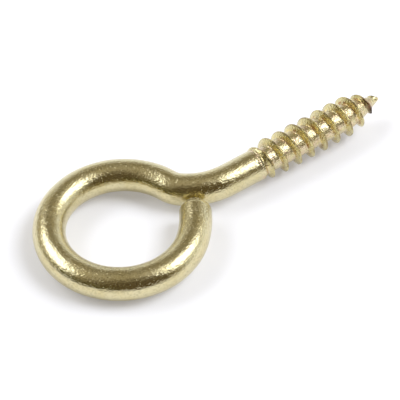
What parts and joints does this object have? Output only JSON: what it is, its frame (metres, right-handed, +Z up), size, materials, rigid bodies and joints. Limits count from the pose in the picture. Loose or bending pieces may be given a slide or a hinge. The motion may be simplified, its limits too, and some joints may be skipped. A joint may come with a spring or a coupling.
{
  "type": "screw eye",
  "caption": "Screw eye: round wire with an open eye bent at one end and a tapered, right-hand wood thread rolled on the other, lying flat.",
  "frame": {"origin": "centre of the eye, at the middle of the wire", "axes": "+X along the shank towards the point, +Y across the eye, +Z up as the screw eye lies flat at rest; the eye and shank rise 0.99 degrees towards the point"},
  "size_m": [0.0372, 0.016, 0.0039],
  "materials": {
    "brassed_steel": "bright brass plating over steel wire"
  },
  "bodies": {
    "root": {"screw_eye": "brassed_steel"}
  },
  "joints": []
}
